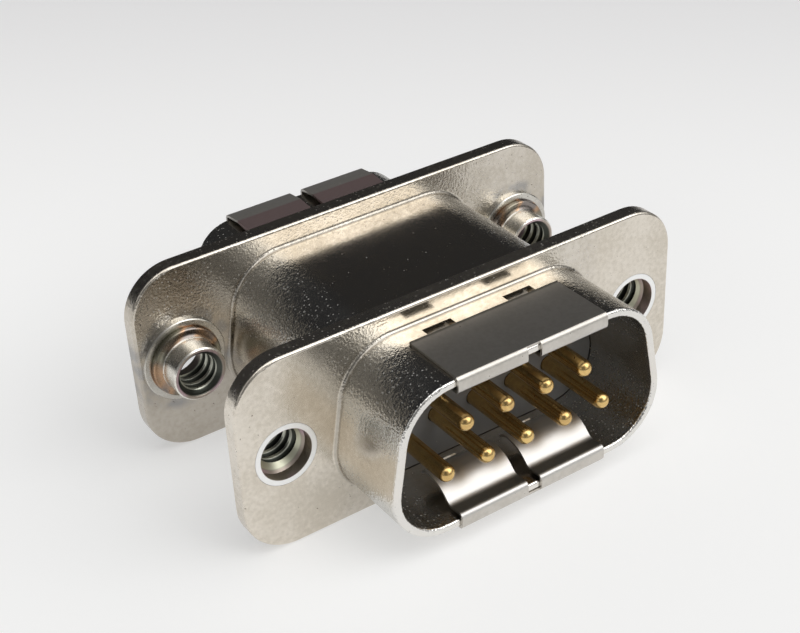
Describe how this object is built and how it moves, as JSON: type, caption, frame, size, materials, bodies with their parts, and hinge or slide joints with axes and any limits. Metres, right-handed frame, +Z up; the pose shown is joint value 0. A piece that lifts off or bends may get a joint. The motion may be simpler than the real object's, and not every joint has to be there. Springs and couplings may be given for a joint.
{
  "type": "d-sub adapter connector",
  "caption": "Through adapter with a D-shaped pin plug at the front and a D-shaped socket receptacle at the back, two flanges with threaded inserts and folded grounding springs.",
  "frame": {"origin": "under the middle of the part, on the plane that the flanges' lower edges stand on", "axes": "X along the flanges' width, the plug faces -Y and the receptacle faces +Y, +Z up"},
  "size_m": [0.0308, 0.0252, 0.0126],
  "materials": {
    "nickel_shell": "nickel plated drawn steel, satin and mottled",
    "insulator": "dark moulded plastic",
    "spring_sheet": "bright nickel plated spring sheet",
    "gold_contact": "gold plated, bright",
    "insert": "zinc plated and yellow passivated, iridescent"
  },
  "bodies": {
    "root": {"plug_shell": "nickel_shell", "body_shell": "nickel_shell", "receptacle_shell": "nickel_shell", "plug_insulator": "insulator", "receptacle_insulator": "insulator", "plug_top_clip": "spring_sheet", "plug_bottom_clip": "spring_sheet", "receptacle_top_clip": "spring_sheet", "receptacle_bottom_clip": "spring_sheet", "contact_1": "gold_contact", "contact_2": "gold_contact", "contact_3": "gold_contact", "contact_4": "gold_contact", "contact_5": "gold_contact", "contact_6": "gold_contact", "contact_7": "gold_contact", "contact_8": "gold_contact", "contact_9": "gold_contact", "front_left_insert": "insert", "front_right_insert": "insert", "rear_left_insert": "insert", "rear_right_insert": "insert"}
  },
  "joints": []
}
